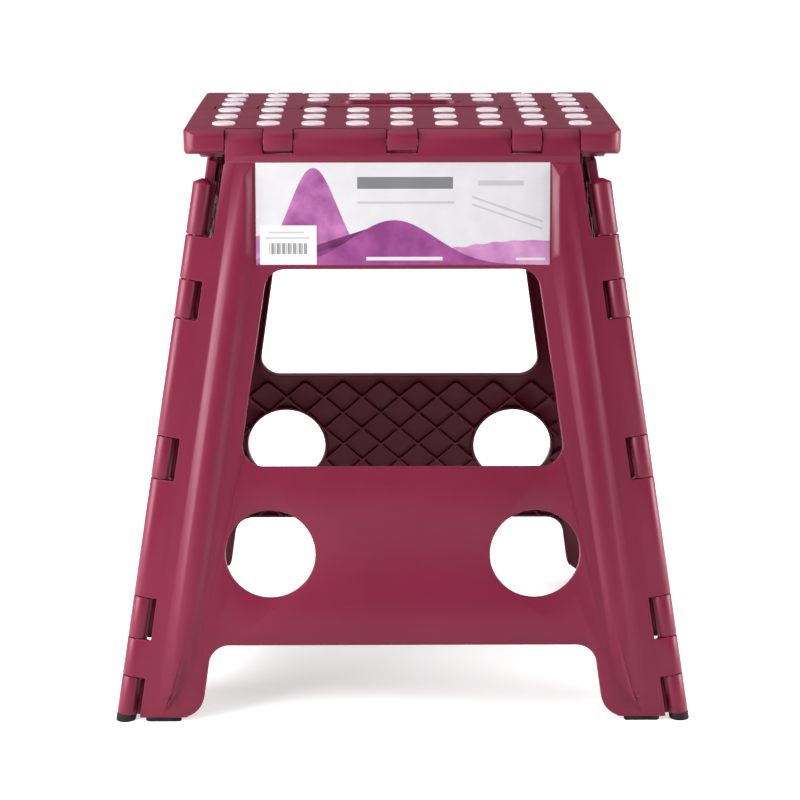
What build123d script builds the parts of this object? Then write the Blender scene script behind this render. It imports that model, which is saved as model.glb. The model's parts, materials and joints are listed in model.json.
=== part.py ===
"""Folding step stool: two leaning leg panels, four hinged side halves and a two-leaf top.

Millimetres, +Z up, origin on the floor under the middle of the top. The front faces -Y.
The four corner hinge lines and the middle hinge line of each side lean inwards and meet at
one apex high above the stool. That is what lets the sides fold flat between the legs.
"""

import os
from math import atan, cos, degrees, sin, sqrt

from build123d import *

# ---- linkage ----
APEX_Z = 1170.9  # height at which all leaning hinge lines meet
LEAN_X = 0.15781  # run across per unit of height of a corner hinge line
LEAN_Y = 0.12332  # run front to back per unit of height of a corner hinge line
TOP_HINGE_Z = 379.5  # hinge between a leg panel and its top leaf
CENTRE_HINGE_Z = 383.7  # hinge between the two top leaves

# ---- top ----
TOP_Z = 390.0
TOP_SLOPE = 0.021  # the leaves fall away from the centre line
TOP_HALF_WIDTH = 141.2
TOP_HALF_DEPTH = 107.0
LEAF_SKIN = 3.2
END_SKIRT = 3.2
LEAF_RIB = 1.8
CROSS_RIBS = [(-76.0, 377.4), (-54.0, 379.2), (-40.0, 380.2)]  # y and lower edge
FRONT_CORNER_R = 9.0
END_EDGE_R = 5.5
END_EDGE_RISE = 1.5  # the end edges are rounded from this far above the plain top
SKIRT_Z = 372.4  # lower edge of the top's skirt
SKIRT_LOWER_R = 5.5
SKIRT_UPPER_R = 4.0
SKIRT_END_R = 3.0
TAB_ROWS = [(-89.5, -70.6), (-9.6, 9.6), (70.6, 89.5)]  # leaf tabs between leg knuckles, in x
TAB_GAP = 0.3
LEG_TOP_HALF_WIDTH = 114.2
END_BLOCK_X = 114.7  # from here outwards the skirt belongs to the leaf
BOSS_ROW = (116.4, 130.6)
BOSS_R = 9.7
BOSS_SHIFT = 1.2  # the boss's centre, behind the hinge
MIDDLE_NOTCH = (15.0, 6.0)  # thumb notch under the middle tab, across and deep
TAB_R = 7.0
FRONT_FINGERS = [(54.3, 67.8), (84.1, 97.5), (113.5, 127.1)]  # centre hinge, each side
BACK_FINGERS = [(68.8, 83.1), (98.5, 112.5), (128.1, 141.2)]
FINGER_R = TOP_Z - CENTRE_HINGE_Z
FINGER_ROOT = 14.0
FINGER_REACH = 7.3
FINGER_SLOT = 8.6
HALF_SPLIT = 0.5  # half the gap between the leaves beside the handle

# ---- handle, in the back leaf ----
SLOT_LENGTH = 83.4
SLOT_WIDTH = 25.4
SLOT_Y = -22.4
COLLAR_WALL = 3.0
COLLAR_Z = 383.4
RIM_LENGTH = 106.0
RIM_WIDTH = 37.4
RIM_RISE = 0.8

# ---- leg panels ----
SKIN_IN = 3.5  # inner face of the skin, outside the plane of the hinge lines
SKIN_OUT = 6.5
FOOT_Z = 2.2
RAIL_R = 8.6
RAIL_DROP = 12.3  # how far the rail reaches below the hinge
TAB_CLEARANCE = 11.2  # radius of the room that a tab turns in
CORNER_R = 6.5  # corner barrels
NOTCH = 9.3  # cut-out in the leg panel round a side barrel
TOP_NOTCH = 11.8
WINDOW_Z = (169.3, 298.3)
WINDOW_X = (107.5, 87.9)  # half widths at those heights
WINDOW_CORNER = 14.0
HOLE_X = 87.3
HOLE_Z = 111.5
HOLE_R = 29.75
WEB_Z = 50.8
ARCH_X = (126.9, 135.1)  # half widths at the web and at the floor
ARCH_CORNER = 14.0
FOOT_CORNER = 16.0
LEG_RIB_RISE = 3.5
RIB_OUTER = 18.8  # insets of the legs' ribs from the corner hinge line
RIB_CREST = 27.7
RIB_INNER = 39.5
NECK_Z = 366.0  # the leg panel narrows to its top barrel between these heights
SHOULDER_Z = 352.0
LATTICE_INSET = 42.0  # the lattice stays this far from the corner hinge line
RIM = 2.2
LATTICE_PITCH = (28.9, 26.0)
LATTICE_PHASE = -3.9  # height of a crossing on the middle line
LATTICE_BAR = 1.6

# ---- side halves ----
SIDE_OUT = 1.2  # outer face of the side skin, inside the plane of the hinge lines
SIDE_IN = 3.8
SIDE_RIB = 5.8
SIDE_LATTICE_INSET = 53.0
SIDE_TOP = 368.5
SIDE_FOOT = 16.0
SIDE_ARCH_Z = 56.0
SIDE_ARCH_INSET = 42.0
SIDE_NOTCH = 7.6
LIP_IN = 8.9  # lips that close the slit between a barrel and the leg panel
LIP_WIDTH = 1.2
NECK_FOOT_Z = 350.0  # thick neck beside the top barrel
NECK_IN = 6.5
NECK_WIDTH = 9.0
CONE_RISE = 3.0  # blunt end of the top barrel
CONE_ANGLE = 60
CENTRE_R = 5.0
CENTRE_NOTCH = 6.2

# ---- knuckles: heights of the barrels along the leaning hinge lines ----
CAP_Z = 4.0
SIDE_KNUCKLES = [(CAP_Z, 29.8), (55.9, 83.2), (162.0, 189.4), (266.8, 291.5), (320.3, 353.5)]
LEG_KNUCKLES = [(30.3, 55.4), (83.7, 161.5), (189.9, 266.3), (292.0, 319.8)]
SIDE_FRONT_ROWS = [(58.0, 88.0), (150.0, 190.0), (252.0, 290.0), (340.0, 366.0)]
SIDE_BACK_ROWS = [(88.5, 149.5), (190.5, 251.5), (290.5, 339.5)]
END_GAP = 0.4

# ---- rods ----
ROD_R = 2.0
RUNNING = 0.05  # radial clearance of a turning rod
SIDE_FLOAT = 0.5  # radial clearance on the right side's middle hinge
TOP_FLOAT = 1.0  # radial clearance on the top's centre hinge
CORNER_ROD = (9.0, 349.0)
SIDE_ROD = (59.0, 365.0)
TOP_ROD_HALF = 131.5
CENTRE_ROD = (55.3, 138.6)

# ---- dots, feet, label ----
DOT_R = 7.5
DOT_RISE = 1.15
DOT_X = 29.15
ALL_COLUMNS = range(-4, 5)
OUTER_COLUMNS = (-4, -3, 3, 4)  # the row that the handle interrupts
DOT_ROWS = [-16.5, -46.1, -75.7]
PAD_X = (147.3, 170.8)
FOOT_BLOCK = (145.8, 172.3)
FOOT_BLOCK_Z = 13.0
FOOT_BLOCK_IN = 3.0
LABEL_SIZE = (190.0, 66.0)
LABEL_MIDDLE = (0.3, 333.8)
LABEL_THICK = 0.25
STICKER_SIZE = (36.7, 25.3)
STICKER_CORNER = (-92.2, 301.4)

LEG_LEAN = atan(LEAN_Y)
SIDE_LEAN = atan(LEAN_X)
LEG_ANGLE = atan(LEAN_X * cos(LEG_LEAN))  # corner line against the panel's middle line
SIDE_ANGLE = atan(LEAN_Y * cos(SIDE_LEAN))
HINGE_UP = TOP_HINGE_Z / cos(LEG_LEAN)


def hinge_x(z):
    """Distance of a corner hinge line from the middle plane, across, at height z."""
    return LEAN_X * (APEX_Z - z)


def hinge_y(z):
    """Distance of a corner hinge line from the middle plane, front to back, at height z."""
    return LEAN_Y * (APEX_Z - z)


def top_z(y):
    """Height of the top surface at a distance y from the centre line."""
    return TOP_Z - TOP_SLOPE * abs(y)


def leg_plane(outward):
    """Plane of the front leg panel's hinge lines, moved outward; local y runs up the leg."""
    normal = (0, -cos(LEG_LEAN), sin(LEG_LEAN))
    return Plane(origin=(0, -hinge_y(0), 0), x_dir=(1, 0, 0), z_dir=normal).offset(outward)


def leg_at(x, z):
    """Point in the leg plane at distance x from the middle and height z."""
    return (x, z / cos(LEG_LEAN))


def leg_point(z, inset):
    """Point in the leg plane beside the right corner line, inset mm inwards of it."""
    return (hinge_x(z) - inset * cos(LEG_ANGLE), z / cos(LEG_LEAN) - inset * sin(LEG_ANGLE))


def leg_section(outward, up):
    """Front to back and height coordinates of a point of the leg panel's cross-section."""
    y = -hinge_y(0) + up * sin(LEG_LEAN) - outward * cos(LEG_LEAN)
    return (y, up * cos(LEG_LEAN) + outward * sin(LEG_LEAN))


def side_plane(outward):
    """Plane of the left side's hinge lines, moved outward; local x runs to the front."""
    normal = (-cos(SIDE_LEAN), 0, sin(SIDE_LEAN))
    return Plane(origin=(-hinge_x(0), 0, 0), x_dir=(0, -1, 0), z_dir=normal).offset(outward)


def side_point(z, inset):
    """Point in the side plane beside the front corner line, inset mm inwards of it."""
    return (hinge_y(z) - inset * cos(SIDE_ANGLE), z / cos(SIDE_LEAN) - inset * sin(SIDE_ANGLE))


def side_at(y, z):
    """Point in the side plane at distance y in front of the middle and height z."""
    return (y, z / cos(SIDE_LEAN))


def hinge_plane(across, along, z):
    """Plane square to a leaning hinge line at height z; along is 0 on a side's middle line."""
    origin = (across * hinge_x(z), along * hinge_y(z), z)
    return Plane(origin=origin, z_dir=(-across * LEAN_X, -along * LEAN_Y, 1))


def line_length(low, high, along):
    """Length of a leaning hinge line between two heights."""
    return (high - low) * sqrt(1 + LEAN_X**2 + (along * LEAN_Y) ** 2)


def both_sides(points):
    """The points, then their mirror images in reverse order: a symmetrical outline."""
    return points + [(-x, y) for x, y in reversed(points)]


def lattice(rows):
    """Crossing diagonal bars in the present sketch."""
    tilt = degrees(atan(LATTICE_PITCH[1] / LATTICE_PITCH[0]))
    for row in rows:
        with Locations((0, row * LATTICE_PITCH[1] + LATTICE_PHASE)):
            Rectangle(520, LATTICE_BAR, rotation=tilt)
            Rectangle(520, LATTICE_BAR, rotation=-tilt)


# ---- outlines shared by several features ----
with BuildSketch() as window:
    sill, head = zip(WINDOW_X, WINDOW_Z)
    Polygon(*both_sides([leg_at(*head), leg_at(*sill)]), align=None)
    fillet(window.vertices(), radius=WINDOW_CORNER)

with BuildSketch() as arch:
    Polygon(*both_sides([leg_at(ARCH_X[0], WEB_Z), leg_at(ARCH_X[1], -5)]), align=None)
    fillet(arch.vertices().group_by(Axis.Y)[-1], radius=ARCH_CORNER)

with BuildSketch() as round_holes:
    with Locations(leg_at(-HOLE_X, HOLE_Z), leg_at(HOLE_X, HOLE_Z)):
        Circle(HOLE_R)

with BuildSketch() as leg_outline:
    foot = leg_point(FOOT_Z, 0)
    top_corner = (LEG_TOP_HALF_WIDTH, HINGE_UP)
    neck = leg_at(LEG_TOP_HALF_WIDTH, NECK_Z)
    shoulder = leg_point(SHOULDER_Z, 0)
    Polygon(*both_sides([top_corner, neck, shoulder, foot]), align=None)
    add(arch.sketch, mode=Mode.SUBTRACT)
    foot_corners = leg_outline.vertices().group_by(Axis.Y)[0].sort_by(Axis.X)
    fillet(foot_corners[1:3], radius=FOOT_CORNER)
    add(window.sketch, mode=Mode.SUBTRACT)
    add(round_holes.sketch, mode=Mode.SUBTRACT)

with BuildSketch() as tab_section:
    front = -TOP_HALF_DEPTH
    hinge = -hinge_y(TOP_HINGE_Z)
    back = hinge + 12
    under = top_z(back) - LEAF_SKIN
    outer = [(front, SKIRT_Z), (front, top_z(front)), (back, top_z(back)), (back, under)]
    Polygon(*outer, (hinge, under), (hinge, SKIRT_Z), align=None)
    fillet(tab_section.vertices().group_by(Axis.X)[0].sort_by(Axis.Y)[0], radius=SKIRT_LOWER_R)
    fillet(tab_section.vertices().group_by(Axis.X)[0].sort_by(Axis.Y)[-1], radius=SKIRT_UPPER_R)
    with Locations((hinge, TOP_HINGE_Z)):
        Circle(TAB_R)

with BuildSketch() as finger_section:
    lip = top_z(FINGER_REACH)
    top_edge = [(-FINGER_ROOT, top_z(FINGER_ROOT)), (0, TOP_Z), (FINGER_REACH, lip)]
    bottom_edge = [(FINGER_REACH, lip - LEAF_SKIN), (-FINGER_ROOT, lip - LEAF_SKIN)]
    Polygon(*top_edge, *bottom_edge, align=None)
    with Locations((0, CENTRE_HINGE_Z)):
        Circle(FINGER_R)


def leg_rib(side):
    """Raised rib down one leg, from the rail to the foot, with bevelled faces."""
    foot = [leg_point(369, RIB_OUTER), leg_point(15, RIB_OUTER), leg_point(9, 24.5)]
    foot += [leg_point(36, RIB_INNER), leg_at(96.2, 304), leg_at(96.2, 366)]
    crest = [leg_point(362, 25.2), leg_point(22, RIB_CREST - 0.7), leg_point(24, 28.6)]
    crest += [leg_point(72, 34.5), leg_at(102.2, 306), leg_at(101.2, 358)]
    with BuildPart() as rib:
        for outline, height in ((foot, SKIN_OUT), (crest, SKIN_OUT + LEG_RIB_RISE)):
            with BuildSketch(leg_plane(height)):
                Polygon(*[(side * x, up) for x, up in outline], align=None)
        loft(ruled=True)
    return rib.part


# ---- front leg panel ----
with BuildPart() as front_leg_panel:
    with BuildSketch(leg_plane(SKIN_IN)):
        add(leg_outline.sketch)
    extrude(amount=SKIN_OUT - SKIN_IN)
    add(leg_rib(-1))
    add(leg_rib(1))
    # stiffening lattice and rims behind the two webs
    with BuildSketch(leg_plane(0)):
        lattice(range(-3, 18))
        with BuildSketch(mode=Mode.INTERSECT):
            for low, high in ((WEB_Z, WINDOW_Z[0]), (WINDOW_Z[1], TOP_HINGE_Z - RAIL_DROP)):
                edge = [leg_point(high, LATTICE_INSET), leg_point(low, LATTICE_INSET)]
                Polygon(*both_sides(edge), align=None)
        offset(window.sketch, amount=RIM, mode=Mode.ADD)
        with Locations(leg_at(-HOLE_X, HOLE_Z), leg_at(HOLE_X, HOLE_Z)):
            Circle(HOLE_R + RIM)
        with BuildSketch():
            offset(arch.sketch, amount=RIM, mode=Mode.ADD)
            Rectangle(400, 20, align=(Align.CENTER, Align.MAX), mode=Mode.SUBTRACT)
        add(leg_outline.sketch, mode=Mode.INTERSECT)
    extrude(amount=SKIN_IN)
    # a thicker block carries the rubber pad under each leg
    for side in (-1, 1):
        low, high = FOOT_BLOCK
        with BuildSketch(leg_plane(-FOOT_BLOCK_IN)):
            block = [(low, FOOT_Z), (high, FOOT_Z), (high, FOOT_BLOCK_Z), (low, FOOT_BLOCK_Z)]
            Polygon(*[leg_at(side * x, z) for x, z in block], align=None)
        extrude(amount=FOOT_BLOCK_IN + SKIN_IN)
    # cut-outs round the side panels' barrels
    for low, high in SIDE_KNUCKLES:
        floor = -5 if low < FOOT_Z + 5 else low - END_GAP
        ceiling = TOP_Z if high > 350 else high + END_GAP
        depth = TOP_NOTCH if high > 350 else NOTCH
        for side in (-1, 1):
            notch = [(floor, -12), (floor, depth), (ceiling, depth), (ceiling, -12)]
            points = [leg_point(z, inset) for z, inset in notch]
            with BuildSketch(leg_plane(-8)):
                Polygon(*[(side * x, y) for x, y in points], align=None)
            extrude(amount=18, mode=Mode.SUBTRACT)
    # rail and barrel of the top hinge
    with BuildSketch(Plane.YZ.offset(-LEG_TOP_HALF_WIDTH)):
        profile = [(-2, -5), (SKIN_IN, -RAIL_DROP), (SKIN_OUT, -RAIL_DROP), (RAIL_R, -9.5), (RAIL_R, 0)]
        Polygon(*[leg_section(w, HINGE_UP + up) for w, up in profile], align=None)
        with Locations(leg_section(0, HINGE_UP)):
            Circle(RAIL_R)
    extrude(amount=2 * LEG_TOP_HALF_WIDTH)
    for low, high in TAB_ROWS:
        with BuildSketch(Plane.YZ.offset(low - 2 * TAB_GAP)):
            with Locations(leg_section(0, HINGE_UP)):
                Circle(TAB_CLEARANCE)
        extrude(amount=high - low + 4 * TAB_GAP, mode=Mode.SUBTRACT)
    # corner barrels
    for side in (-1, 1):
        for low, high in LEG_KNUCKLES:
            with BuildSketch(hinge_plane(side, -1, low)):
                Circle(CORNER_R)
            extrude(amount=line_length(low, high, 1))
        with BuildSketch(hinge_plane(side, -1, 20)):
            Circle(ROD_R + RUNNING)
        extrude(amount=line_length(20, 330, 1), mode=Mode.SUBTRACT)
    with BuildSketch(Plane.YZ.offset(-LEG_TOP_HALF_WIDTH - 1)):
        with Locations(leg_section(0, HINGE_UP)):
            Circle(ROD_R + RUNNING)
    extrude(amount=2 * LEG_TOP_HALF_WIDTH + 2, mode=Mode.SUBTRACT)

with BuildPart() as back_leg_panel:
    add(front_leg_panel.part, rotation=(0, 0, 180))


def side_half(own_rows, other_rows, bore):
    """Left front half of a side, with its own barrels on the middle hinge line."""
    with BuildSketch() as arch_cut:
        low_edge = [side_point(-5, SIDE_ARCH_INSET), side_point(SIDE_ARCH_Z, SIDE_ARCH_INSET)]
        Polygon((-20, -10), *low_edge, side_at(-20, SIDE_ARCH_Z), align=None)
        fillet(arch_cut.vertices().sort_by_distance(low_edge[1])[0], radius=ARCH_CORNER)
    with BuildPart() as half:
        with BuildSketch(side_plane(-SIDE_IN)):
            edge = [side_point(SIDE_FOOT, 0), side_point(SIDE_TOP, 0)]
            Polygon(side_at(0, SIDE_FOOT), *edge, side_at(0, SIDE_TOP), align=None)
            add(arch_cut.sketch, mode=Mode.SUBTRACT)
        extrude(amount=SIDE_IN - SIDE_OUT)
        with BuildSketch(side_plane(-SIDE_RIB)):
            lattice(range(-3, 20))
            with BuildSketch(mode=Mode.INTERSECT):
                edge = [side_point(z, SIDE_LATTICE_INSET) for z in (SIDE_ARCH_Z, SIDE_TOP)]
                Polygon(side_at(0, SIDE_ARCH_Z), *edge, side_at(0, SIDE_TOP), align=None)
        extrude(amount=SIDE_RIB - SIDE_IN)
        # cut-outs round the other panels' barrels
        for low, high in LEG_KNUCKLES:
            notch = [(low - END_GAP, -12), (low - END_GAP, SIDE_NOTCH)]
            notch += [(high + END_GAP, SIDE_NOTCH), (high + END_GAP, -12)]
            with BuildSketch(side_plane(-8)):
                Polygon(*[side_point(z, inset) for z, inset in notch], align=None)
            extrude(amount=16, mode=Mode.SUBTRACT)
        for low, high in other_rows:
            notch = [(-12, low - END_GAP), (CENTRE_NOTCH, low - END_GAP)]
            notch += [(CENTRE_NOTCH, high + END_GAP), (-12, high + END_GAP)]
            with BuildSketch(side_plane(-8)):
                Polygon(*[side_at(y, z) for y, z in notch], align=None)
            extrude(amount=16, mode=Mode.SUBTRACT)
        # barrels with lips along them, and a neck with a blunt end on the top one
        for low, high in SIDE_KNUCKLES:
            with BuildSketch(hinge_plane(-1, -1, low)):
                Circle(CORNER_R)
            extrude(amount=line_length(low, high, 1))
            lip = [(low, 0), (low, LIP_WIDTH), (high, LIP_WIDTH), (high, 0)]
            with BuildSketch(side_plane(-LIP_IN)):
                Polygon(*[side_point(z, inset) for z, inset in lip], align=None)
            extrude(amount=LIP_IN)
        with BuildSketch(hinge_plane(-1, -1, SIDE_KNUCKLES[-1][1])):
            Circle(CORNER_R)
        extrude(amount=CONE_RISE, taper=CONE_ANGLE)
        neck = [(NECK_FOOT_Z, 0), (NECK_FOOT_Z, NECK_WIDTH), (SIDE_TOP, NECK_WIDTH), (SIDE_TOP, 0)]
        with BuildSketch(side_plane(-NECK_IN)):
            Polygon(*[side_point(z, inset) for z, inset in neck], align=None)
        extrude(amount=NECK_IN - SIDE_OUT)
        for low, high in own_rows:
            with BuildSketch(hinge_plane(-1, 0, low)):
                Circle(CENTRE_R)
            extrude(amount=line_length(low, high, 0))
        low, high = CORNER_ROD
        with BuildSketch(hinge_plane(-1, -1, low - 1)):
            Circle(ROD_R + RUNNING)
        extrude(amount=line_length(low - 1, high + 1, 1), mode=Mode.SUBTRACT)
        with BuildSketch(hinge_plane(-1, 0, 40)):
            Circle(ROD_R + bore)
        extrude(amount=line_length(40, 380, 0), mode=Mode.SUBTRACT)
    return half.part


with BuildPart() as left_front_side_panel:
    add(side_half(SIDE_FRONT_ROWS, SIDE_BACK_ROWS, RUNNING))

with BuildPart() as left_back_side_panel:
    mirror(side_half(SIDE_BACK_ROWS, SIDE_FRONT_ROWS, RUNNING), about=Plane.XZ)

with BuildPart() as right_front_side_panel:
    add(left_back_side_panel.part, rotation=(0, 0, 180))

with BuildPart() as right_back_side_panel:
    add(side_half(SIDE_FRONT_ROWS, SIDE_BACK_ROWS, SIDE_FLOAT), rotation=(0, 0, 180))


def top_leaf(own_fingers, other_fingers, bore, handle):
    """One leaf of the top, lying to the front of the centre line."""
    width = 2 * TOP_HALF_WIDTH
    hinge = -hinge_y(TOP_HINGE_Z)
    tab_edges = [x for row in TAB_ROWS for x in row]
    barrel_edge = LEG_TOP_HALF_WIDTH + TAB_GAP
    with BuildPart() as leaf:
        # plate, with a skirt along each end that gets shallower towards the centre
        with BuildSketch(Plane.YZ.offset(-TOP_HALF_WIDTH)):
            upper = [(hinge, top_z(hinge)), (-HALF_SPLIT, top_z(HALF_SPLIT))]
            plate = upper + [(y, z - LEAF_SKIN) for y, z in reversed(upper)]
            Polygon(*plate, align=None)
        extrude(amount=width)
        for x in (-TOP_HALF_WIDTH, TOP_HALF_WIDTH - END_SKIRT):
            with BuildSketch(Plane.YZ.offset(x)):
                skirt = [(hinge, TOP_Z - 4), (hinge, SKIRT_Z), (-9, 383), (-9, TOP_Z - 2)]
                Polygon(*skirt, align=None)
            extrude(amount=END_SKIRT)
        # ribs under the plate, front to back and across
        for column in ALL_COLUMNS:
            with BuildSketch(Plane.YZ.offset(column * DOT_X - LEAF_RIB / 2)):
                rib = [(hinge + 9, 386), (hinge + 9, 376), (-14, 382.2), (-14, 388)]
                Polygon(*rib, align=None)
            extrude(amount=LEAF_RIB)
        for y, lower_edge in CROSS_RIBS:
            with BuildSketch(Plane.XY.offset(lower_edge)):
                with Locations((0, y)):
                    Rectangle(width - 4, LEAF_RIB)
            extrude(amount=TOP_Z - LEAF_SKIN - lower_edge)
        # clear the leg panel's barrels
        edges = [-barrel_edge, *tab_edges, barrel_edge]
        for low, high in zip(edges[::2], edges[1::2]):
            with BuildSketch(Plane.YZ.offset(low)):
                with Locations((hinge, TOP_HINGE_Z)):
                    Circle(RAIL_R + 0.5)
                    Rectangle(30, 40, align=(Align.MAX, Align.CENTER))
            extrude(amount=high - low, mode=Mode.SUBTRACT)
        # tabs between the barrels, and the end blocks
        blocks = [(-TOP_HALF_WIDTH, -END_BLOCK_X), (END_BLOCK_X, TOP_HALF_WIDTH)]
        for low, high in TAB_ROWS + blocks:
            with BuildSketch(Plane.YZ.offset(low)):
                add(tab_section.sketch)
            extrude(amount=high - low)
        with BuildSketch(Plane.XY.offset(SKIRT_Z - 5)):
            with Locations((0, -TOP_HALF_DEPTH)):
                Rectangle(*MIDDLE_NOTCH)
        extrude(amount=8, mode=Mode.SUBTRACT)
        for start in (BOSS_ROW[0], -BOSS_ROW[1]):
            with BuildSketch(Plane.YZ.offset(start)):
                with Locations((hinge + BOSS_SHIFT, TOP_HINGE_Z)):
                    Circle(BOSS_R)
                    Rectangle(30, 16, align=(Align.CENTER, Align.MIN), mode=Mode.SUBTRACT)
            extrude(amount=BOSS_ROW[1] - BOSS_ROW[0])
        # centre hinge fingers and the slots for the other leaf's fingers
        for low, high in own_fingers:
            for start in (low, -high):
                with BuildSketch(Plane.YZ.offset(start)):
                    add(finger_section.sketch)
                extrude(amount=high - low)
        for low, high in other_fingers:
            for start in (low - 1, -high - 1):
                with BuildSketch(Plane.YZ.offset(start)):
                    with Locations((0, TOP_Z - 10)):
                        Rectangle(2 * FINGER_SLOT, 40)
                extrude(amount=high - low + 2, mode=Mode.SUBTRACT)
        if handle:
            # raised rim, deep collar and through slot
            with BuildSketch(Plane.XY.offset(COLLAR_Z)):
                with Locations((0, SLOT_Y)):
                    SlotOverall(SLOT_LENGTH + 2 * COLLAR_WALL, SLOT_WIDTH + 2 * COLLAR_WALL)
                with Locations((0, -HALF_SPLIT)):
                    Rectangle(RIM_LENGTH - 4, 10, align=(Align.CENTER, Align.MAX))
                with Locations((0, -HALF_SPLIT)):
                    Rectangle(RIM_LENGTH, 20, align=(Align.CENTER, Align.MIN), mode=Mode.SUBTRACT)
            extrude(amount=TOP_Z - 1 - COLLAR_Z)
            with BuildSketch(Plane.XY.offset(TOP_Z - 2)) as rim_outline:
                with Locations((0, -HALF_SPLIT)):
                    Rectangle(RIM_LENGTH, RIM_WIDTH, align=(Align.CENTER, Align.MAX))
                fillet(rim_outline.vertices().group_by(Axis.Y)[0], radius=18)
                fillet(rim_outline.vertices().group_by(Axis.Y)[-1], radius=3)
            extrude(amount=2 + RIM_RISE)
            with BuildSketch(Plane.XY.offset(TOP_Z - 30)):
                with Locations((0, SLOT_Y)):
                    SlotOverall(SLOT_LENGTH, SLOT_WIDTH)
            extrude(amount=40, mode=Mode.SUBTRACT)
        # rod bores
        with BuildSketch(Plane.YZ.offset(-TOP_ROD_HALF - 0.5)):
            with Locations((hinge, TOP_HINGE_Z)):
                Circle(ROD_R + RUNNING)
        extrude(amount=2 * TOP_ROD_HALF + 1, mode=Mode.SUBTRACT)
        for start in (CENTRE_ROD[0] - 3, -CENTRE_ROD[1] - 0.5):
            with BuildSketch(Plane.YZ.offset(start)):
                with Locations((0, CENTRE_HINGE_Z)):
                    Circle(ROD_R + bore)
            extrude(amount=CENTRE_ROD[1] - CENTRE_ROD[0] + 3.5, mode=Mode.SUBTRACT)
        # rounded front corners and end edges
        with BuildSketch(Plane.XY.offset(SKIRT_Z - 10)) as plan:
            with Locations((0, 20)):
                Rectangle(width, TOP_HALF_DEPTH + 20, align=(Align.CENTER, Align.MAX))
            fillet(plan.vertices().group_by(Axis.Y)[0], radius=FRONT_CORNER_R)
        extrude(amount=40, mode=Mode.INTERSECT)
        with BuildSketch(Plane.XZ.offset(-20)) as face:
            with Locations((0, SKIRT_Z)):
                Rectangle(width, TOP_Z + END_EDGE_RISE - SKIRT_Z, align=(Align.CENTER, Align.MIN))
            fillet(face.vertices().group_by(Axis.Y)[-1], radius=END_EDGE_R)
            fillet(face.vertices().group_by(Axis.Y)[0], radius=SKIRT_END_R)
            with Locations((0, TOP_Z - 8)):
                Rectangle(2 * BOSS_ROW[1], 30, align=(Align.CENTER, Align.MAX))
        extrude(amount=TOP_HALF_DEPTH + 40, mode=Mode.INTERSECT)
    return leaf.part


with BuildPart() as front_top_panel:
    add(top_leaf(FRONT_FINGERS, BACK_FINGERS, RUNNING, handle=False))

with BuildPart() as back_top_panel:
    add(top_leaf(BACK_FINGERS, FRONT_FINGERS, TOP_FLOAT, handle=True), rotation=(0, 0, 180))

# ---- steel rods ----
with BuildPart() as front_top_rod:
    with BuildSketch(Plane.YZ.offset(-TOP_ROD_HALF)):
        with Locations((-hinge_y(TOP_HINGE_Z), TOP_HINGE_Z)):
            Circle(ROD_R)
    extrude(amount=2 * TOP_ROD_HALF)
    chamfer(front_top_rod.edges().filter_by(GeomType.CIRCLE), length=0.4)

with BuildPart() as back_top_rod:
    add(front_top_rod.part, rotation=(0, 0, 180))

with BuildPart() as right_top_centre_rod:
    with BuildSketch(Plane.YZ.offset(CENTRE_ROD[0])):
        with Locations((0, CENTRE_HINGE_Z)):
            Circle(ROD_R)
    extrude(amount=CENTRE_ROD[1] - CENTRE_ROD[0])
    chamfer(right_top_centre_rod.edges().filter_by(GeomType.CIRCLE), length=0.4)

with BuildPart() as left_top_centre_rod:
    mirror(right_top_centre_rod.part, about=Plane.YZ)

with BuildPart() as left_front_corner_rod:
    with BuildSketch(hinge_plane(-1, -1, CORNER_ROD[0])):
        Circle(ROD_R)
    extrude(amount=line_length(*CORNER_ROD, 1))
    chamfer(left_front_corner_rod.edges().filter_by(GeomType.CIRCLE), length=0.4)

with BuildPart() as left_side_rod:
    with BuildSketch(hinge_plane(-1, 0, SIDE_ROD[0])):
        Circle(ROD_R)
    extrude(amount=line_length(*SIDE_ROD, 0))
    chamfer(left_side_rod.edges().filter_by(GeomType.CIRCLE), length=0.4)

with BuildPart() as right_side_rod:
    mirror(left_side_rod.part, about=Plane.YZ)

# ---- rubber feet ----
with BuildPart() as left_front_foot_cap:
    with BuildSketch(hinge_plane(-1, -1, CAP_Z)):
        Circle(CORNER_R)
    extrude(amount=-2 * CAP_Z)
    split(bisect_by=Plane.XY, keep=Keep.TOP)

with BuildPart() as front_right_foot_pad:
    up = FOOT_Z / cos(LEG_LEAN)
    inner, outer = leg_section(-2.6, up), leg_section(6.2, up)
    with BuildSketch(Plane.YZ.offset(PAD_X[0])):
        Polygon(inner, outer, (outer[0] + 0.6, 0), (inner[0] - 0.6, 0), align=None)
    extrude(amount=PAD_X[1] - PAD_X[0])
    chamfer(front_right_foot_pad.edges().filter_by(Axis.Y).group_by(Axis.Z)[0], length=1.2)

quarter_parts = {
    "corner_rod": left_front_corner_rod.part,
    "foot_cap": left_front_foot_cap.part,
}
corner_parts = {}
for kind, piece in quarter_parts.items():
    with BuildPart() as left_back:
        mirror(piece, about=Plane.XZ)
    with BuildPart() as right_front:
        mirror(piece, about=Plane.YZ)
    with BuildPart() as right_back:
        add(piece, rotation=(0, 0, 180))
    corner_parts[f"left_front_{kind}"] = piece
    corner_parts[f"left_back_{kind}"] = left_back.part
    corner_parts[f"right_front_{kind}"] = right_front.part
    corner_parts[f"right_back_{kind}"] = right_back.part

with BuildPart() as front_left_foot_pad:
    mirror(front_right_foot_pad.part, about=Plane.YZ)

with BuildPart() as back_left_foot_pad:
    add(front_right_foot_pad.part, rotation=(0, 0, 180))

with BuildPart() as back_right_foot_pad:
    mirror(front_right_foot_pad.part, about=Plane.XZ)


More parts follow.
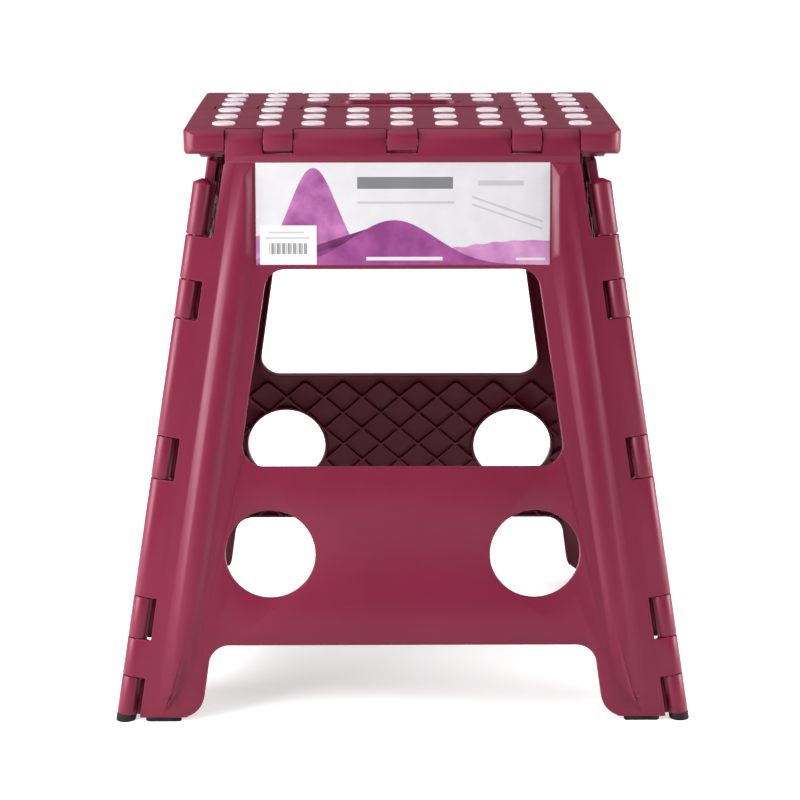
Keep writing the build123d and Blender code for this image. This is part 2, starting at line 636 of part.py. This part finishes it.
# ---- raised dots ----
def dot_row(y, columns):
    """One row of dots on the front leaf; y is measured along the leaf."""
    tilt = atan(TOP_SLOPE)
    surface = Plane(origin=(0, 0, TOP_Z), x_dir=(1, 0, 0), z_dir=(0, -sin(tilt), cos(tilt)))
    with BuildPart() as row:
        with BuildSketch(surface):
            with Locations([(column * DOT_X, y) for column in columns]):
                Circle(DOT_R)
        extrude(amount=DOT_RISE)
        fillet(row.edges().filter_by(GeomType.CIRCLE).group_by(Axis.Z)[-1], radius=0.5)
    return row.part


dots = {}
for number, y in enumerate(DOT_ROWS, start=1):
    dots[f"front_dots_row_{number}"] = dot_row(y, ALL_COLUMNS)
    with BuildPart() as back_row:
        add(dot_row(y, OUTER_COLUMNS if number == 1 else ALL_COLUMNS), rotation=(0, 0, 180))
    dots[f"back_dots_row_{number}"] = back_row.part

# ---- printed label and sticker ----
with BuildPart() as front_label:
    with BuildSketch(leg_plane(SKIN_OUT)):
        with Locations(leg_at(*LABEL_MIDDLE)):
            Rectangle(*LABEL_SIZE)
    extrude(amount=LABEL_THICK)

with BuildPart() as barcode_sticker:
    with BuildSketch(leg_plane(SKIN_OUT + LABEL_THICK)):
        with Locations(leg_at(*STICKER_CORNER)):
            Rectangle(*STICKER_SIZE, align=(Align.MIN, Align.MIN))
    extrude(amount=LABEL_THICK)

# ---- export, one file for each piece ----
pieces = {
    "front_leg_panel": front_leg_panel.part,
    "back_leg_panel": back_leg_panel.part,
    "left_front_side_panel": left_front_side_panel.part,
    "left_back_side_panel": left_back_side_panel.part,
    "right_front_side_panel": right_front_side_panel.part,
    "right_back_side_panel": right_back_side_panel.part,
    "front_top_panel": front_top_panel.part,
    "back_top_panel": back_top_panel.part,
    "front_top_rod": front_top_rod.part,
    "back_top_rod": back_top_rod.part,
    "left_top_centre_rod": left_top_centre_rod.part,
    "right_top_centre_rod": right_top_centre_rod.part,
    "left_side_rod": left_side_rod.part,
    "right_side_rod": right_side_rod.part,
    "front_left_foot_pad": front_left_foot_pad.part,
    "front_right_foot_pad": front_right_foot_pad.part,
    "back_left_foot_pad": back_left_foot_pad.part,
    "back_right_foot_pad": back_right_foot_pad.part,
    "front_label": front_label.part,
    "barcode_sticker": barcode_sticker.part,
    **corner_parts,
    **dots,
}
os.makedirs("parts", exist_ok=True)
for name, piece in pieces.items():
    piece.label = name
    export_step(piece, f"parts/{name}.step")
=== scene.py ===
import json
from math import exp, pi, radians, sin

import bmesh
import bpy
from mathutils import Matrix, Vector


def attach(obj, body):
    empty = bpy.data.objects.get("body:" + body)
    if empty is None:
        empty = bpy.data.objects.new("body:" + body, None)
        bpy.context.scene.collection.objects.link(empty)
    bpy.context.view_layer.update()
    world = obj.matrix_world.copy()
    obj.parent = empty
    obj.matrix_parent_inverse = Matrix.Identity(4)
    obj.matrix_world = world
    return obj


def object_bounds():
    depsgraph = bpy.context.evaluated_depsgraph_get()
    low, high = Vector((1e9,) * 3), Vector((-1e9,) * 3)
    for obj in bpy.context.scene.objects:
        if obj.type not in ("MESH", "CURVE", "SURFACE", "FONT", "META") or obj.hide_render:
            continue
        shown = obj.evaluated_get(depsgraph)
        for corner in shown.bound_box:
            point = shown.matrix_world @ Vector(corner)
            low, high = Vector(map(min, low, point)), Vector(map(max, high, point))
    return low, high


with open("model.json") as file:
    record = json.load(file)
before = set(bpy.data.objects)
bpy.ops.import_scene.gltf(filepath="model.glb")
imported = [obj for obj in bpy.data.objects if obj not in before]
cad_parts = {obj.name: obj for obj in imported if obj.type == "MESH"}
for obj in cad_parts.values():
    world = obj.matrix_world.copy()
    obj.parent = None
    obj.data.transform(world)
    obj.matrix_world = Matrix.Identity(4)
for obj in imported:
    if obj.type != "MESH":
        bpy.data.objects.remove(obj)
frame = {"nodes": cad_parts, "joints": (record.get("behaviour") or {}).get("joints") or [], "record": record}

MM = 0.001
nodes = frame["nodes"]
cad_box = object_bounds()

# ---- looks ----
PLUM = (0.215, 0.012, 0.046)
PLUM_DEEP = (0.190, 0.010, 0.038)
DOT_WHITE = (0.84, 0.76, 0.81)
RUBBER = (0.018, 0.012, 0.014)
STEEL = (0.55, 0.55, 0.57)
PAPER = (0.80, 0.785, 0.81)
GREY_TITLE = (0.22, 0.22, 0.23)
GREY_FAINT = (0.60, 0.58, 0.61)
GREY_BARCODE = (0.30, 0.29, 0.29)
FLOOR_WHITE = (0.93, 0.93, 0.93)
FLOOR_GLOW = 0.46
STICKER_WHITE = (0.90, 0.90, 0.90)

# ---- shapes ----
EDGE_ROUND = 0.7 * MM  # rounding of moulded edges; rubber edges get half of it
EDGE_SEGMENTS = 2
SHARP = radians(35)  # edges that bend more than this are rounded
JOIN_DISTANCE = 0.002 * MM  # vertices closer than this are one
PRINT_THICK = 0.04 * MM
PRINT_STEP = 0.05 * MM  # each printed layer stands this much further out
HILL_REACH = 2.4  # a hill is drawn this many spreads to each side
HILL_RANGE = (0.004, 0.985)  # lowest and highest outline, in heights of the label
RIPPLE_WAVES = 95  # radians of ripple across the whole label
SHORT_LINES = (0.80, 0.66)  # heights of the sticker's two lines
STROKE_COUNT = 21

# ---- lights and camera, in metres, watts and radians; the lens in millimetres ----
WORLD_STRENGTH = 0.20
FLOOR_SIZE = 60
OVERHEAD_STRENGTH = 1.45
OVERHEAD_ANGLE = radians(100)
OVERHEAD_TILT = (radians(3), radians(-12), 0)
LIGHTS = (  # name, place from the stool's middle, size, power
    ("key_left", Vector((-0.95, -0.52, 0.28)), 0.7, 18.0),
    ("fill_right", Vector((1.65, -0.29, 0.3)), 0.8, 36.0),
    ("fill_back", Vector((0.7, 1.7, 0.5)), 1.2, 26.0),
)
SENSOR_WIDTH = 36.0
LENS = 100.3
CAMERA_PLACE = (-0.01355, -1.53309, 0.57983)
CAMERA_DIP = 0.2539  # downwards from level
CAMERA_TURN = -0.0084


# ---- materials ----
def new_material(name, color, roughness):
    """A Principled material; returns it with its node tree and shader."""
    material = bpy.data.materials.new(name)
    material.use_nodes = True
    tree = material.node_tree
    shader = tree.nodes["Principled BSDF"]
    shader.inputs["Base Color"].default_value = (*color, 1)
    shader.inputs["Roughness"].default_value = roughness
    return material, tree, shader


def noise(tree, scale, detail=2.0):
    """Noise in the row's own coordinates, scale per metre."""
    place = tree.nodes.new("ShaderNodeTexCoord")
    texture = tree.nodes.new("ShaderNodeTexNoise")
    texture.inputs["Scale"].default_value = scale
    texture.inputs["Detail"].default_value = detail
    tree.links.new(place.outputs["Object"], texture.inputs["Vector"])
    return texture.outputs["Fac"]


def ramp(tree, value, low, high, start=0.35, stop=0.65):
    """Blend between two colours as a value goes from start to stop."""
    blend = tree.nodes.new("ShaderNodeValToRGB")
    blend.color_ramp.elements[0].position = start
    blend.color_ramp.elements[0].color = (*low, 1)
    blend.color_ramp.elements[1].position = stop
    blend.color_ramp.elements[1].color = (*high, 1)
    tree.links.new(value, blend.inputs["Fac"])
    return blend.outputs["Color"]


def roughness_from(tree, shader, value, low, high):
    """Roughness that varies between two values."""
    spread = tree.nodes.new("ShaderNodeMapRange")
    spread.inputs["To Min"].default_value = low
    spread.inputs["To Max"].default_value = high
    tree.links.new(value, spread.inputs["Value"])
    tree.links.new(spread.outputs["Result"], shader.inputs["Roughness"])


def bump(tree, shader, value, depth, strength):
    """Fine relief from a value."""
    relief = tree.nodes.new("ShaderNodeBump")
    relief.inputs["Strength"].default_value = strength
    relief.inputs["Distance"].default_value = depth
    tree.links.new(value, relief.inputs["Height"])
    tree.links.new(relief.outputs["Normal"], shader.inputs["Normal"])


def moulded_plastic():
    """Plum polypropylene: cloudy flow marks and a fine moulded grain."""
    material, tree, shader = new_material("plum_plastic", PLUM, 0.4)
    clouds = noise(tree, 9.0, 3.0)
    tree.links.new(ramp(tree, clouds, PLUM_DEEP, PLUM), shader.inputs["Base Color"])
    roughness_from(tree, shader, noise(tree, 60.0), 0.32, 0.46)
    bump(tree, shader, noise(tree, 1400.0), 0.05 * MM, 0.25)
    shader.inputs["Specular IOR Level"].default_value = 0.35
    return material


def soft_grip():
    """Pale anti-slip dots with a faint bloom."""
    material, tree, shader = new_material("white_grip", DOT_WHITE, 0.55)
    tint = ramp(tree, noise(tree, 250.0), (0.76, 0.66, 0.72), DOT_WHITE)
    tree.links.new(tint, shader.inputs["Base Color"])
    bump(tree, shader, noise(tree, 1800.0), 0.05 * MM, 0.3)
    return material


def rubber():
    """Matt black rubber, a little blotchy, for the pads and caps."""
    material, tree, shader = new_material("black_rubber", RUBBER, 0.75)
    tint = ramp(tree, noise(tree, 120.0), (0.010, 0.007, 0.008), (0.026, 0.017, 0.020))
    tree.links.new(tint, shader.inputs["Base Color"])
    bump(tree, shader, noise(tree, 900.0), 0.1 * MM, 0.4)
    shader.inputs["Specular IOR Level"].default_value = 0.2
    return material


def drawn_steel():
    """Plain drawn wire for the hinge rods."""
    material, tree, shader = new_material("steel_rod", STEEL, 0.35)
    shader.inputs["Metallic"].default_value = 1.0
    tint = ramp(tree, noise(tree, 300.0), (0.42, 0.42, 0.44), (0.62, 0.62, 0.64))
    tree.links.new(tint, shader.inputs["Base Color"])
    return material


def paper(name, color, roughness=0.45):
    """Printed or plain film with a faint unevenness."""
    material, tree, shader = new_material(name, color, roughness)
    darker = tuple(0.95 * channel for channel in color)
    tint = ramp(tree, noise(tree, 80.0), darker, color)
    tree.links.new(tint, shader.inputs["Base Color"])
    return material


def ink_wash(name, dark, light):
    """Printed tone that drifts between two colours like a faded picture."""
    material, tree, shader = new_material(name, light, 0.45)
    tint = ramp(tree, noise(tree, 45.0, 4.0), dark, light, 0.38, 0.62)
    tree.links.new(tint, shader.inputs["Base Color"])
    return material


def floor_paint():
    """Near-white floor that glows a little, so that it stays pale."""
    material, tree, shader = new_material("studio_floor", FLOOR_WHITE, 0.9)
    tint = ramp(tree, noise(tree, 0.5), tuple(0.99 * c for c in FLOOR_WHITE), FLOOR_WHITE)
    tree.links.new(tint, shader.inputs["Base Color"])
    shader.inputs["Specular IOR Level"].default_value = 0.1
    shader.inputs["Emission Color"].default_value = (1, 1, 1, 1)
    shader.inputs["Emission Strength"].default_value = FLOOR_GLOW
    return material


# ---- rounded edges on the CAD pieces ----
def clean_group():
    """Geometry nodes that join split vertices and drop stored normals."""
    group = bpy.data.node_groups.new("join_faces", "GeometryNodeTree")
    group.interface.new_socket("Geometry", in_out="INPUT", socket_type="NodeSocketGeometry")
    group.interface.new_socket("Geometry", in_out="OUTPUT", socket_type="NodeSocketGeometry")
    start = group.nodes.new("NodeGroupInput")
    end = group.nodes.new("NodeGroupOutput")
    merge = group.nodes.new("GeometryNodeMergeByDistance")
    merge.inputs["Distance"].default_value = JOIN_DISTANCE
    forget = group.nodes.new("GeometryNodeRemoveAttribute")
    forget.inputs["Name"].default_value = "custom_normal"
    group.links.new(start.outputs[0], merge.inputs["Geometry"])
    group.links.new(merge.outputs["Geometry"], forget.inputs["Geometry"])
    group.links.new(forget.outputs["Geometry"], end.inputs[0])
    return group


def smooth_group():
    """Geometry nodes that shade smooth across every edge flatter than the sharp angle."""
    group = bpy.data.node_groups.new("smooth_by_angle", "GeometryNodeTree")
    group.interface.new_socket("Geometry", in_out="INPUT", socket_type="NodeSocketGeometry")
    group.interface.new_socket("Geometry", in_out="OUTPUT", socket_type="NodeSocketGeometry")
    start = group.nodes.new("NodeGroupInput")
    end = group.nodes.new("NodeGroupOutput")
    faces = group.nodes.new("GeometryNodeSetShadeSmooth")
    faces.domain = "FACE"
    faces.inputs["Shade Smooth"].default_value = True
    edges = group.nodes.new("GeometryNodeSetShadeSmooth")
    edges.domain = "EDGE"
    edges.inputs["Shade Smooth"].default_value = False
    angle = group.nodes.new("GeometryNodeInputMeshEdgeAngle")
    sharp = group.nodes.new("FunctionNodeCompare")
    sharp.data_type = "FLOAT"
    sharp.operation = "GREATER_THAN"
    sharp.inputs["B"].default_value = SHARP
    group.links.new(angle.outputs["Unsigned Angle"], sharp.inputs["A"])
    group.links.new(sharp.outputs["Result"], edges.inputs["Selection"])
    group.links.new(start.outputs[0], faces.inputs["Geometry"])
    group.links.new(faces.outputs["Geometry"], edges.inputs["Geometry"])
    group.links.new(edges.outputs["Geometry"], end.inputs[0])
    return group


def round_edges(piece, clean, smooth, width):
    """Rounds the hard edges of a CAD piece with modifiers; its mesh stays as it is."""
    piece.modifiers.new("join_faces", "NODES").node_group = clean
    rounding = piece.modifiers.new("round_edges", "BEVEL")
    rounding.width = width
    rounding.segments = EDGE_SEGMENTS
    rounding.limit_method = "ANGLE"
    rounding.angle_limit = SHARP
    rounding.use_clamp_overlap = False
    piece.modifiers.new("smooth_by_angle", "NODES").node_group = smooth


# ---- print on the label and the sticker ----
def panel_normal():
    """Outward normal of the front leg panel, from its two corner hinge lines."""
    axes = {joint["name"]: Vector(joint["axis"]) for joint in frame["joints"]}
    left = axes["left_front_corner_hinge"]
    right = axes["right_front_corner_hinge"]
    normal = left.cross(right).normalized()
    return -normal if normal.y > 0 else normal


def front_face(node):
    """Place, width and height of a thin slab's front face: x to the right, y up the panel."""
    out = panel_normal()
    across = Vector((1, 0, 0))
    up = out.cross(across)
    points = [vertex.co for vertex in nodes[node].data.vertices]
    low_x = min(point.dot(across) for point in points)
    low_up = min(point.dot(up) for point in points)
    surface = max(point.dot(out) for point in points)
    width = max(point.dot(across) for point in points) - low_x
    height = max(point.dot(up) for point in points) - low_up
    corner = across * low_x + up * low_up + out * surface
    turn = Matrix((across, up, out)).transposed().to_4x4()
    return Matrix.Translation(corner) @ turn, width, height


def printed_shape(name, outline, place, layer, material):
    """A flat printed patch, a hair thick, on a slab's front face."""
    mesh = bpy.data.meshes.new(name)
    shape = bmesh.new()
    low = layer * PRINT_STEP
    bottom = [shape.verts.new((x, y, low)) for x, y in outline]
    top = [shape.verts.new((x, y, low + PRINT_THICK)) for x, y in outline]
    shape.faces.new(reversed(bottom))
    shape.faces.new(top)
    for i, corner in enumerate(bottom):
        following = (i + 1) % len(bottom)
        shape.faces.new((corner, bottom[following], top[following], top[i]))
    bmesh.ops.triangulate(shape, faces=[face for face in shape.faces if len(face.verts) > 4])
    shape.transform(place)
    shape.to_mesh(mesh)
    shape.free()
    piece = bpy.data.objects.new(name, mesh)
    bpy.context.scene.collection.objects.link(piece)
    mesh.materials.append(material)
    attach(piece, "front_leg")
    return piece


def bar(width, height, x, y, long, tall, slant=0.0):
    """Outline of a bar in fractions of the slab; slant is the drop along its length."""
    left, right = x * width, (x + long) * width
    base, head, drop = y * height, (y + tall) * height, slant * height
    return [(left, base), (right, base - drop), (right, head - drop), (left, head)]


def hill(width, height, centre, spread, top, steps=48, ripple=0.0):
    """Outline of a rounded hill in fractions of the slab, cut off at the slab's edges."""
    start = max(0.0, centre - HILL_REACH * spread)
    stop = min(1.0, centre + HILL_REACH * spread)
    lowest, highest = HILL_RANGE
    crest = []
    for i in range(steps + 1):
        x = start + (stop - start) * i / steps
        rise = top * exp(-(((x - centre) / spread) ** 2))
        rise += ripple * (1 + sin(RIPPLE_WAVES * x)) * sin(pi * i / steps)
        crest.append((x * width, min(max(rise, lowest), highest) * height))
    return [(stop * width, 0.0), (start * width, 0.0), *crest][::-1]


def print_label():
    """Plain hills in purple, and grey bars where a label has its writing."""
    place, width, height = front_face("front_label")
    far = ink_wash("ink_far_hills", (0.49, 0.17, 0.43), (0.72, 0.36, 0.62))
    tall = ink_wash("ink_tall_hill", (0.27, 0.057, 0.235), (0.58, 0.20, 0.48))
    near = ink_wash("ink_near_hill", (0.245, 0.042, 0.205), (0.41, 0.095, 0.33))
    title = paper("ink_title_grey", GREY_TITLE)
    faint = paper("ink_faint_grey", GREY_FAINT)
    white = paper("ink_white", PAPER)
    shapes = [
        ("label_far_hills", hill(width, height, 0.95, 0.42, 0.24, 90, 0.012), 0, far),
        ("label_low_hill", hill(width, height, 0.03, 0.12, 0.30), 0, far),
        ("label_tall_hill", hill(width, height, 0.195, 0.115, 0.95), 1, tall),
        ("label_near_hill", hill(width, height, 0.47, 0.20, 0.44), 2, near),
        ("label_title_bar", bar(width, height, 0.345, 0.745, 0.325, 0.115), 0, title),
        ("label_text_line_1", bar(width, height, 0.345, 0.60, 0.33, 0.022), 0, faint),
        ("label_text_line_2", bar(width, height, 0.755, 0.775, 0.155, 0.05), 0, faint),
        ("label_text_line_3", bar(width, height, 0.735, 0.655, 0.24, 0.022, 0.24), 0, faint),
        ("label_text_line_4", bar(width, height, 0.735, 0.585, 0.24, 0.018, 0.24), 0, faint),
        ("label_text_line_5", bar(width, height, 0.375, 0.045, 0.26, 0.035), 3, white),
        ("label_text_line_6", bar(width, height, 0.885, 0.045, 0.10, 0.025), 3, white),
    ]
    for name, outline, layer, material in shapes:
        printed_shape(name, outline, place, layer, material)


def print_sticker():
    """Grey strokes and lines on the small sticker."""
    place, width, height = front_face("barcode_sticker")
    strokes = paper("ink_strokes_grey", GREY_BARCODE)
    faint = paper("ink_lines_grey", GREY_FAINT)
    for number, y in enumerate(SHORT_LINES):
        outline = bar(width, height, 0.16 - 0.07 * number, y, 0.62 + 0.16 * number, 0.045)
        printed_shape(f"sticker_line_{number + 1}", outline, place, 0, faint)
    for number in range(STROKE_COUNT):
        thick = 0.010 + 0.009 * (number * 5 % 3)
        x = 0.17 + 0.64 * number / (STROKE_COUNT - 1)
        outline = bar(width, height, x, 0.27, thick, 0.28)
        printed_shape(f"sticker_stroke_{number + 1:02d}", outline, place, 0, strokes)


# ---- surroundings ----
def studio():
    """A pale floor, an even surround, a wide overhead light and three soft lights."""
    scene = bpy.context.scene
    scene.view_settings.view_transform = "Standard"
    bpy.ops.mesh.primitive_plane_add(size=FLOOR_SIZE)
    floor = bpy.context.object
    floor.name = "studio_floor"
    floor.data.materials.append(floor_paint())
    floor.visible_diffuse = False  # the white sweep is not a light from below
    world = bpy.data.worlds.new("studio")
    world.use_nodes = True
    world.node_tree.nodes["Background"].inputs["Color"].default_value = (1, 1, 1, 1)
    world.node_tree.nodes["Background"].inputs["Strength"].default_value = WORLD_STRENGTH
    scene.world = world
    middle = (cad_box[0] + cad_box[1]) / 2
    overhead = bpy.data.lights.new("overhead", "SUN")
    overhead.angle = OVERHEAD_ANGLE
    overhead.energy = OVERHEAD_STRENGTH
    sky = bpy.data.objects.new("overhead", overhead)
    sky.rotation_euler = OVERHEAD_TILT
    scene.collection.objects.link(sky)
    for name, offset, size, power in LIGHTS:
        lamp = bpy.data.lights.new(name, "AREA")
        lamp.size = size
        lamp.energy = power
        holder = bpy.data.objects.new(name, lamp)
        holder.location = middle + offset
        holder.rotation_euler = (-offset).to_track_quat("-Z", "Y").to_euler()
        holder.visible_glossy = name != "fill_back"  # keeps its glare off the top
        scene.collection.objects.link(holder)


def camera():
    """In front of the stool and a little above its top."""
    lens = bpy.data.cameras.new("camera")
    lens.sensor_width = SENSOR_WIDTH
    lens.lens = LENS
    holder = bpy.data.objects.new("camera", lens)
    holder.location = CAMERA_PLACE
    holder.rotation_euler = (pi / 2 - CAMERA_DIP, 0, CAMERA_TURN)
    bpy.context.scene.collection.objects.link(holder)
    bpy.context.scene.camera = holder


# ---- dress the CAD pieces ----
def dress_cad():
    """Gives each CAD node the material of its slot, and rounds the edges of the moulded ones."""
    makers = {
        "plum_plastic": moulded_plastic(),
        "white_grip": soft_grip(),
        "black_rubber": rubber(),
        "steel_rod": drawn_steel(),
        "label": paper("label_paper", PAPER, 0.35),
        "sticker": paper("sticker_paper", STICKER_WHITE, 0.5),
    }
    clean, smooth = clean_group(), smooth_group()
    for part in frame["record"]["subparts"]:
        piece = nodes[part["node"]]
        piece.data.materials.clear()
        piece.data.materials.append(makers[part["material_slot"]])
        if part["material_slot"] == "plum_plastic":
            round_edges(piece, clean, smooth, EDGE_ROUND)
        elif part["material_slot"] == "black_rubber":
            round_edges(piece, clean, smooth, EDGE_ROUND / 2)


dress_cad()
print_label()
print_sticker()
studio()
camera()
bpy.context.view_layer.update()
